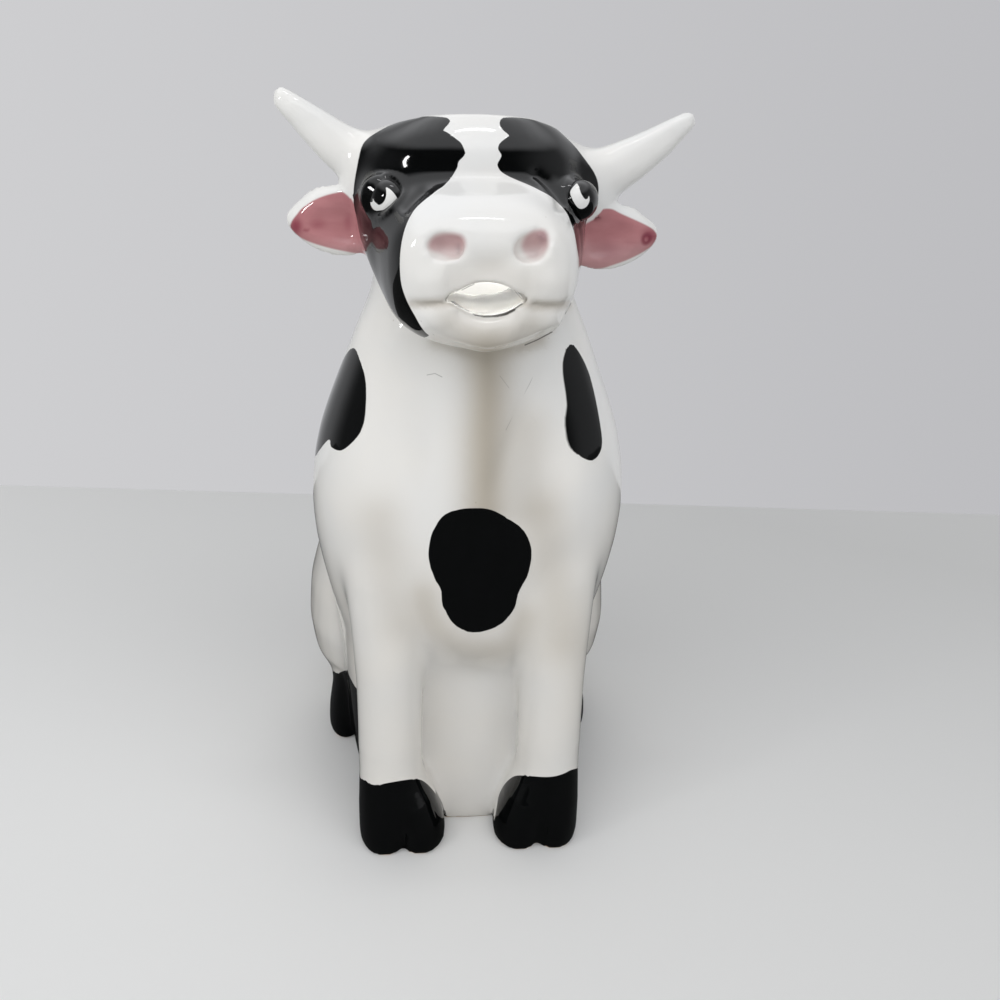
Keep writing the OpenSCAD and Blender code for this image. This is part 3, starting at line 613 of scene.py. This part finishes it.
# painted eyeballs: half sizes in mm, turn in degrees, the plane that cuts them off inside the head, and the outline
# of the white on the photograph
eyes = dict(
    half=(4.4, 3.3, 3.8), turn=55, cutAt=1.2, cutAlong=(0.8, 0.6),
    left=[(386, 187.5), (388.5, 188.3), (391.5, 190.5), (394.5, 194), (396.7, 197.5), (397.2, 201), (396, 203.6),
          (392.5, 205), (389, 207.7), (385, 209.6), (380, 210.4), (376, 210.6), (373.2, 209), (370.5, 204.5),
          (368.8, 201), (371, 202.2), (372.6, 201.6), (372.9, 198.6), (374.2, 201), (376.4, 203.3), (379, 204.9),
          (382, 203.7), (384.6, 200.5), (386, 196.5), (386.3, 192)],
    right=[(577, 183.5), (579, 187), (580.5, 192), (582.5, 196), (585, 199), (587.5, 198.6), (588.8, 196),
           (589.6, 199.5), (588.5, 203.5), (586, 207), (582, 208.8), (578.5, 208), (575, 204), (572, 198.5),
           (570.3, 193.5), (571, 190), (574, 186)],
)
for side, name in ((-1, "left"), (1, "right")):
    ball = bmesh.new()
    bmesh.ops.create_icosphere(ball, subdivisions=6, radius=1)
    turn = Matrix.Rotation(math.radians(side * eyes["turn"]), 4, "Z")
    middle = Vector(eyeMiddles[name])
    bmesh.ops.transform(ball, verts=ball.verts, matrix=Matrix.Scale(mm, 4) @ Matrix.Translation(middle) @ turn
                        @ Matrix.Diagonal((*eyes["half"], 1)))
    inward, backward = eyes["cutAlong"]
    bmesh.ops.bisect_plane(ball, geom=ball.verts[:] + ball.edges[:] + ball.faces[:], dist=1e-7, clear_outer=True,
                           plane_co=middle * mm + Vector((-side * eyes["cutAt"], 0, 0)) * mm,
                           plane_no=Vector((-side * inward, backward, 0)))
    bmesh.ops.holes_fill(ball, edges=[e for e in ball.edges if e.is_boundary])
    mesh = bpy.data.meshes.new(name + ".eye")
    ball.to_mesh(mesh)
    ball.free()
    for polygon in mesh.polygons:
        polygon.use_smooth = True
    eyeU, eyeV, eyeAway = onPhoto(column(mesh.vertices, "co", 3) / mm)
    white = depthInside(eyeU, eyeV, eyes[name]) * eyeAway
    none = np.zeros(len(white))
    store(mesh, blackGlaze=np.clip(-white, -deepest, deepest), roseGlaze=none - 3, thinRose=none, deepRose=none,
          pooledGlaze=none)
    pieces[name + "_eye"] = newObject(name + "_eye", mesh)

print("linesAndCreaseShade")
# fine dark lines: most are painted shade in the creases and gaps by the mouth, jaw, chin and chest, the hair and the
# scratch are real marks in the glaze; line on the photograph, half width in mm and strength
linesAndCreaseShade = dict(
    mouthEdge=([(453, 302), (460, 307.5), (467, 310.5), (475, 314.3), (484, 316), (494, 316), (505, 314), (514, 309.8),
                (521, 304)], 0.42, 0.95),
    mouthUpper=([(454, 298), (462, 290), (474, 284)], 0.16, 0.5),
    mouthRight=([(508, 286), (516, 292), (522, 299)], 0.14, 0.4),
    rightJaw=([(525, 345), (538, 339.5), (552, 332)], 0.12, 0.8),
    rightChin=([(565, 314), (571, 303)], 0.10, 0.6),
    leftJaw=([(421, 321), (434, 335)], 0.08, 0.35),
    hair=([(427, 375), (435, 373.5), (442, 377)], 0.07, 0.45),
    scratch=([(500, 376), (509, 388)], 0.05, 0.35),
    chestLine=([(549, 338), (530, 383), (506, 430)], 0.07, 0.3),
)
longestStep = 12  # mm; a longer one would leap from one form to another
skinTree = BVHTree.FromObject(cow, bpy.context.evaluated_depsgraph_get())


def landed(pixelPlace):
    # where the ray through a pixel of the photograph meets the skin, in metres
    px, py = pixelPlace
    ray = Vector(((px - middlePixel) / lensPixels, (middlePixel - py) / lensPixels, -1))
    return skinTree.ray_cast(eyePoint, (camera.matrix_world.to_3x3() @ ray).normalized())[0]


def strokeDarkness(tree, position, line, halfWidth, strength):
    # the strength along the line on the skin, fading over its half width
    nearest = None
    ends = [p for p in (landed(q) for q in line) if p is not None]
    for a, b in zip(ends, ends[1:]):
        step = b - a
        if step.length > longestStep * mm:
            continue
        fromStart = addNode(tree, "ShaderNodeVectorMath", {0: position, 1: a}, "Vector", operation="SUBTRACT")
        along = addNode(tree, "ShaderNodeVectorMath", {0: fromStart, 1: step / step.length_squared}, "Value",
                        operation="DOT_PRODUCT")
        share = addNode(tree, "ShaderNodeClamp", {"Value": along}, "Result")
        reached = addNode(tree, "ShaderNodeVectorMath", {0: step, "Scale": share}, "Vector", operation="SCALE")
        gap = addNode(tree, "ShaderNodeVectorMath", {0: fromStart, 1: reached}, "Value", operation="DISTANCE")
        if nearest is None:
            nearest = gap
        else:
            nearest = addNode(tree, "ShaderNodeMath", {0: nearest, 1: gap}, "Value", operation="MINIMUM")
    if nearest is None:
        return None
    reach = halfWidth * mm
    return addNode(tree, "ShaderNodeMapRange", {"Value": nearest, "From Min": reach * 1.6, "From Max": reach * 0.5,
                                                "To Min": 0.0, "To Max": strength}, "Result",
                   interpolation_type="SMOOTHSTEP")


print("materials")
# drift, waviness, orange peel, streaks, wear and speck spacing are the real sizes of the patterns in mm
# the pooled, deep rose and line colours also stand for painted shade
glaze = dict(
    white="#edebe6", cool="#e8e8e6", pooled="#b6aea0", black="#040505", worn="#0c0d0e", rose="#bb8284",
    streakedRose="#a66c70", deepRose="#8e4652", ring="#7b3744", line="#2c2620", clay="#d9cdb9", wornClay="#8a5a44",
    speck="#a79c8b", ior=1.52, roughness=0.06, matt=0.82, relief=0.09, drift=26.0, waviness=9.0, orangePeel=1.1,
    roseStreaks=2.2, blackStreaks=1.6, wear=3.5, speckSpacing=5.5, speckRarity=0.86, ringAt=(646.5, 239),
    ringRadius=1.6,
)


def glazedEarthenware():
    # slip-cast white earthenware under a clear lead-free glaze: glassy and slightly wavy, warmer where it has pooled,
    # with painted shade in hollows, black and rose laid on by brush, fine dark lines that are mostly painted shade in
    # creases, and a wiped matt foot
    material = bpy.data.materials.new("glazed earthenware")
    material.use_nodes = True
    tree = material.node_tree
    tree.nodes.clear()

    def painted(title, low, high):
        # where one of the skin's measures passes from low to high
        measure = addNode(tree, "ShaderNodeAttribute", output="Fac", attribute_name=title)
        return addNode(tree, "ShaderNodeMapRange", {"Value": measure, "From Min": low, "From Max": high}, "Result",
                       interpolation_type="SMOOTHSTEP")

    position = addNode(tree, "ShaderNodeTexCoord", output="Object")
    height = addNode(tree, "ShaderNodeSeparateXYZ", {"Vector": position}, "Z")
    acrossEar = addNode(tree, "ShaderNodeMapping", {"Vector": position, "Scale": (0.35, 1, 1)}, "Vector")
    downwards = addNode(tree, "ShaderNodeMapping", {"Vector": position, "Scale": (1, 1, 0.25)}, "Vector")
    # each pattern with the places that it reads, which stretch the streaks, and its detail
    patterns = dict(drift=(position, 2.0), waviness=(position, 1.0), orangePeel=(position, 1.0), wear=(position, 3.0),
                    roseStreaks=(acrossEar, 3.0), blackStreaks=(downwards, 2.0))
    noise = {}
    for title, (place, detail) in patterns.items():
        noise[title] = addNode(tree, "ShaderNodeTexNoise", {"Vector": place, "Scale": 1 / (glaze[title] * mm),
                                                            "Detail": detail}, "Fac")

    # the white body: slow change of tint, pooled glaze with painted shade in it, rare specks of iron
    drift = addNode(tree, "ShaderNodeMapRange", {"Value": noise["drift"], "From Min": 0.35, "From Max": 0.65},
                    "Result")
    pooled = addNode(tree, "ShaderNodeAttribute", output="Fac", attribute_name="pooledGlaze")
    specks = addNode(tree, "ShaderNodeTexVoronoi", {"Vector": position, "Scale": 1 / (glaze["speckSpacing"] * mm)})
    speckSize = addNode(tree, "ShaderNodeMapRange", {"Value": specks.outputs["Distance"], "From Min": 0.045,
                                                     "From Max": 0.02, "To Max": 0.7}, "Result",
                        interpolation_type="SMOOTHSTEP")
    speckChance = addNode(tree, "ShaderNodeSeparateColor", {"Color": specks.outputs["Color"]}, "Red")
    isSpeck = addNode(tree, "ShaderNodeMath", {0: speckChance, 1: glaze["speckRarity"]}, "Value",
                      operation="GREATER_THAN")
    speckMask = addNode(tree, "ShaderNodeMath", {0: speckSize, 1: isSpeck}, "Value", operation="MULTIPLY")

    # rose, brushed on in streaks, thicker in places, with painted shade deepening it in the nostril pits and ear
    # hollows, and paler lower down as painted light
    streaked = addNode(tree, "ShaderNodeMapRange", {"Value": noise["roseStreaks"], "From Min": 0.3, "From Max": 0.75,
                                                    "To Max": 0.6}, "Result")
    roseTint = addNode(tree, "ShaderNodeMix", {0: streaked, 6: glaze["rose"], 7: glaze["streakedRose"]}, 2,
                       data_type="RGBA")
    thickerAndShaded = painted("deepRose", 0.0, 1.0)
    roseTint = addNode(tree, "ShaderNodeMix", {0: thickerAndShaded, 6: roseTint, 7: glaze["deepRose"]}, 2, data_type="RGBA")
    roseKept = addNode(tree, "ShaderNodeMath", {0: 1.0, 1: painted("thinRose", 0.0, 1.0)}, "Value",
                      operation="SUBTRACT")
    isRose = addNode(tree, "ShaderNodeMath", {0: painted("roseGlaze", -0.2, 0.25), 1: roseKept}, "Value",
                     operation="MULTIPLY")

    # ring where the rose pooled at the tip of the right ear
    toRing = addNode(tree, "ShaderNodeVectorMath", {0: position, 1: landed(glaze["ringAt"])}, "Value",
                     operation="DISTANCE")
    acrossRing = addNode(tree, "ShaderNodeMapRange", {"Value": toRing, "From Min": 0.0,
                                                      "From Max": glaze["ringRadius"] * mm}, "Result")
    ring = addNode(tree, "ShaderNodeValToRGB", {"Fac": acrossRing})
    for end in ring.color_ramp.elements:
        end.color = (0, 0, 0, 1)
    for place, level in ((0.18, 0.08), (0.42, 0.8), (0.62, 0.68)):
        ring.color_ramp.elements.new(place).color = (level, level, level, 1)

    # black, with a faint brush streak in it
    brushed = addNode(tree, "ShaderNodeMath", {0: noise["blackStreaks"], 1: 0.5}, "Value", operation="MULTIPLY")
    blackTint = addNode(tree, "ShaderNodeMix", {0: brushed, 6: glaze["black"], 7: glaze["worn"]}, 2, data_type="RGBA")

    # wiped foot: clay shows on the sole and in worn places on the edge above it
    wornTo = addNode(tree, "ShaderNodeMath", {0: noise["wear"], 1: 1.6 * mm, 2: -0.62 * mm}, "Value",
                     operation="MULTIPLY_ADD")
    under = addNode(tree, "ShaderNodeMath", {0: wornTo, 1: height}, "Value", operation="SUBTRACT")
    bare = addNode(tree, "ShaderNodeMapRange", {"Value": under, "From Min": -0.05 * mm, "From Max": 0.1 * mm},
                   "Result", interpolation_type="SMOOTHSTEP")
    clayTone = addNode(tree, "ShaderNodeMapRange", {"Value": height, "From Min": 0.05 * mm, "From Max": 0.35 * mm},
                       "Result")
    clay = addNode(tree, "ShaderNodeMix", {0: clayTone, 6: glaze["clay"], 7: glaze["wornClay"]}, 2, data_type="RGBA")
    roughness = addNode(tree, "ShaderNodeMapRange", {"Value": bare, "To Min": glaze["roughness"],
                                                     "To Max": glaze["matt"]}, "Result")

    # the colour in layers, from the white body outwards; the pooled, deep rose and fine-line layers carry painted
    # shade too
    layers = [(drift, glaze["cool"]), (pooled, glaze["pooled"]), (speckMask, glaze["speck"]), (isRose, roseTint),
              (ring.outputs["Color"], glaze["ring"]), (painted("blackGlaze", -0.07, 0.07), blackTint)]
    # most of these lines are painted shade in creases and gaps
    for line, halfWidth, strength in linesAndCreaseShade.values():
        darkness = strokeDarkness(tree, position, line, halfWidth, strength)
        if darkness is not None:
            layers.append((darkness, glaze["line"]))
    layers.append((bare, clay))
    colour = glaze["white"]
    for share, tint in layers:
        colour = addNode(tree, "ShaderNodeMix", {0: share, 6: colour, 7: tint}, 2, data_type="RGBA")

    # relief: slow waves of the melted glaze, fine orange peel, and the edge of the black standing proud
    melted = addNode(tree, "ShaderNodeMath", {0: noise["orangePeel"], 1: 0.035, 2: noise["waviness"]}, "Value",
                     operation="MULTIPLY_ADD")
    laidOn = addNode(tree, "ShaderNodeMath", {0: painted("blackGlaze", -0.25, 0.15), 1: 0.35, 2: melted}, "Value",
                     operation="MULTIPLY_ADD")
    relief = addNode(tree, "ShaderNodeBump", {"Height": laidOn, "Strength": 1.0, "Distance": glaze["relief"] * mm},
                     "Normal")

    shader = addNode(tree, "ShaderNodeBsdfPrincipled", {"Base Color": colour, "Roughness": roughness,
                                                        "Normal": relief, "IOR": glaze["ior"]}, "BSDF")
    addNode(tree, "ShaderNodeOutputMaterial", {"Surface": shader})
    return material


glazed = glazedEarthenware()
for name, piece in pieces.items():
    piece.data.materials.clear()
    piece.data.materials.append(glazed)
    if name in cadNodes:
        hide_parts(name)
    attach(piece, "root")
bpy.data.objects.remove(cow)

print("stage")
# a table that ends behind the jug, where the pale backdrop of the room takes over; lengths in mm
# the table's two tones, its lean and where it turns darker or paler lay painted light on it
stage = dict(table=("#d2d2d0", "#f4f4f2"), half=1500.0, farBehind=230.0, hoofTips=-50.04, roughness=0.6,
             seenInGlaze=0.03, lean=0.75, darker=0.25, paler=-0.2)
heading = Matrix.Rotation(math.radians(view["turn"]), 3, "Z")
sheet = bmesh.new()
cornersOfTable = []
for right, behind in ((-1, -stage["half"]), (1, -stage["half"]), (1, stage["farBehind"]), (-1, stage["farBehind"])):
    corner = Vector((0, stage["hoofTips"], 0)) + heading @ Vector((right * stage["half"], behind, 0))
    cornersOfTable.append(sheet.verts.new(corner * mm))
sheet.faces.new(cornersOfTable)
mesh = bpy.data.meshes.new("floor")
sheet.to_mesh(mesh)
sheet.free()


def mattBoardPaint():
    # matt painted board, with painted light making it paler towards the window on the left and towards the front; the
    # glaze mirrors the dark of the room in its place
    material = bpy.data.materials.new("matt board paint")
    material.use_nodes = True
    tree = material.node_tree
    tree.nodes.clear()
    onTable = addNode(tree, "ShaderNodeSeparateXYZ", {"Vector": addNode(tree, "ShaderNodeTexCoord", output="Object")})
    lean = addNode(tree, "ShaderNodeMath", {0: onTable.outputs["X"], 1: stage["lean"], 2: onTable.outputs["Y"]},
                   "Value", operation="MULTIPLY_ADD")
    paintedLight = addNode(tree, "ShaderNodeMapRange", {"Value": lean, "From Min": stage["darker"],
                                                   "From Max": stage["paler"]}, "Result")
    darkEnd, paleEnd = stage["table"]
    board = addNode(tree, "ShaderNodeMix", {0: paintedLight, 6: darkEnd, 7: paleEnd}, 2, data_type="RGBA")
    dimmed = addNode(tree, "ShaderNodeVectorMath", {0: board, "Scale": stage["seenInGlaze"]}, "Vector",
                     operation="SCALE")
    mirrored = addNode(tree, "ShaderNodeLightPath", output="Is Glossy Ray")
    tone = addNode(tree, "ShaderNodeMix", {0: mirrored, 6: board, 7: dimmed}, 2, data_type="RGBA")
    shader = addNode(tree, "ShaderNodeBsdfPrincipled", {"Base Color": tone, "Roughness": stage["roughness"]}, "BSDF")
    addNode(tree, "ShaderNodeOutputMaterial", {"Surface": shader})
    return material


mesh.materials.append(mattBoardPaint())
newObject("floor", mesh)

# soft boxes: places and sizes in mm, watts and degrees. The window lights the jug from the upper left, the strip is
# mirrored along the top of the head and the lamp on the left brow. The last two stand for what falls in through the
# crown and fills the jug up to its mouth
softBoxes = dict(
    window=dict(place=(-850, -300, 700), aim=(0, 0, 60), size=(900, 700), watts=1.3, colour=(1.0, 0.995, 0.985),
                inGlaze=False),
    strip=dict(place=(20, -60, 560), aim=(0, -60, 100), size=(120, 18), watts=0.09, roll=90),
    lamp=dict(place=(-133, -121, 197), aim=(-15, -41, 151), size=(28, 11), watts=0.03, roll=55),
    crown=dict(place=(0, -20, 150), aim=(0, 60, 110), size=(22, 16), watts=0.0045, inGlaze=False, inView=False),
    throat=dict(place=(2, -28, 132.5), aim=(2, 6, 119), size=(8, 3), watts=0.013, inGlaze=False, inView=False),
)


def softBox(name, place, aim, size, watts, colour=(1, 1, 1), roll=0, inGlaze=True, inView=True):
    data = bpy.data.lights.new(name, "AREA")
    data.shape = "RECTANGLE"
    data.size, data.size_y = size[0] * mm, size[1] * mm
    data.energy = watts
    data.color = colour
    lamp = newObject(name, data)
    lamp.visible_glossy = inGlaze
    lamp.visible_camera = inView
    turned = ((Vector(aim) - Vector(place)) * mm).to_track_quat("-Z", "Y").to_matrix().to_4x4()
    lamp.matrix_world = (Matrix.Translation(Vector(place) * mm) @ turned
                         @ Matrix.Rotation(math.radians(roll), 4, "Z"))


for name, values in softBoxes.items():
    softBox(name, **values)

# a room with a bright ceiling, dim to the right and dark behind the camera; matt surfaces get a share of it and a
# fill from the front, and the camera sees a pale backdrop, with painted light making it paler to the left, towards the
# window
room = dict(ceiling="#f6f7fa", backdrop=("#cfcfd1", "#bcbcbf"), ceilingStart=0.55, ceilingFull=0.82, ceilingGain=1.2,
            front=0.02, back=0.6, right=0.35, left=0.1, matt=0.38, fill=1.5)
world = bpy.data.worlds.new("room")
world.use_nodes = True
tree = world.node_tree
tree.nodes.clear()
outwards = addNode(tree, "ShaderNodeTexCoord", output="Generated")
direction = addNode(tree, "ShaderNodeSeparateXYZ", {"Vector": outwards})


def towards(axis, start, end, level, low=0.0):
    # brightness that rises from low to level as a ray turns towards one side of the room
    return addNode(tree, "ShaderNodeMapRange", {"Value": direction.outputs[axis], "From Min": start, "From Max": end,
                                                "To Min": low, "To Max": level}, "Result",
                   interpolation_type="SMOOTHSTEP")


light = towards("Z", room["ceilingStart"], room["ceilingFull"], room["ceilingGain"])
for part in (towards("Y", 0.0, 0.6, room["back"], room["front"]), towards("X", 0.4, 0.95, room["right"]),
             towards("X", -0.7, -0.95, room["left"])):
    light = addNode(tree, "ShaderNodeMath", {0: light, 1: part}, "Value", operation="ADD")
rays = addNode(tree, "ShaderNodeLightPath")
share = addNode(tree, "ShaderNodeMapRange", {"Value": rays.outputs["Is Glossy Ray"], "To Min": room["matt"],
                                             "To Max": 1.0}, "Result")
onlyMatt = addNode(tree, "ShaderNodeMapRange", {"Value": rays.outputs["Is Glossy Ray"], "To Min": 1.0, "To Max": 0.0},
                   "Result")
filled = addNode(tree, "ShaderNodeMath", {0: towards("Y", -0.1, -0.6, room["fill"]), 1: onlyMatt}, "Value",
                 operation="MULTIPLY")
filled = addNode(tree, "ShaderNodeMath", {0: filled, 1: towards("Z", 0.0, 0.3, 1.0)}, "Value", operation="MULTIPLY")
light = addNode(tree, "ShaderNodeMath", {0: light, 1: share, 2: filled}, "Value", operation="MULTIPLY_ADD")
sky = addNode(tree, "ShaderNodeBackground", {"Color": room["ceiling"], "Strength": light}, "Background")
# painted light: the backdrop is paler to the left, towards the window
across = addNode(tree, "ShaderNodeMapRange", {"Value": direction.outputs["X"], "From Min": -0.4, "From Max": 0.6},
                 "Result")
leftTone, rightTone = room["backdrop"]
backdropPaintedLight = addNode(tree, "ShaderNodeMix", {0: across, 6: leftTone, 7: rightTone}, 2, data_type="RGBA")
backdrop = addNode(tree, "ShaderNodeBackground", {"Color": backdropPaintedLight, "Strength": 1.0}, "Background")
inSight = addNode(tree, "ShaderNodeMixShader", {0: rays.outputs["Is Camera Ray"], 1: sky, 2: backdrop}, "Shader")
addNode(tree, "ShaderNodeOutputWorld", {"Surface": inSight})
scene.world = world
scene.view_settings.view_transform = "Standard"
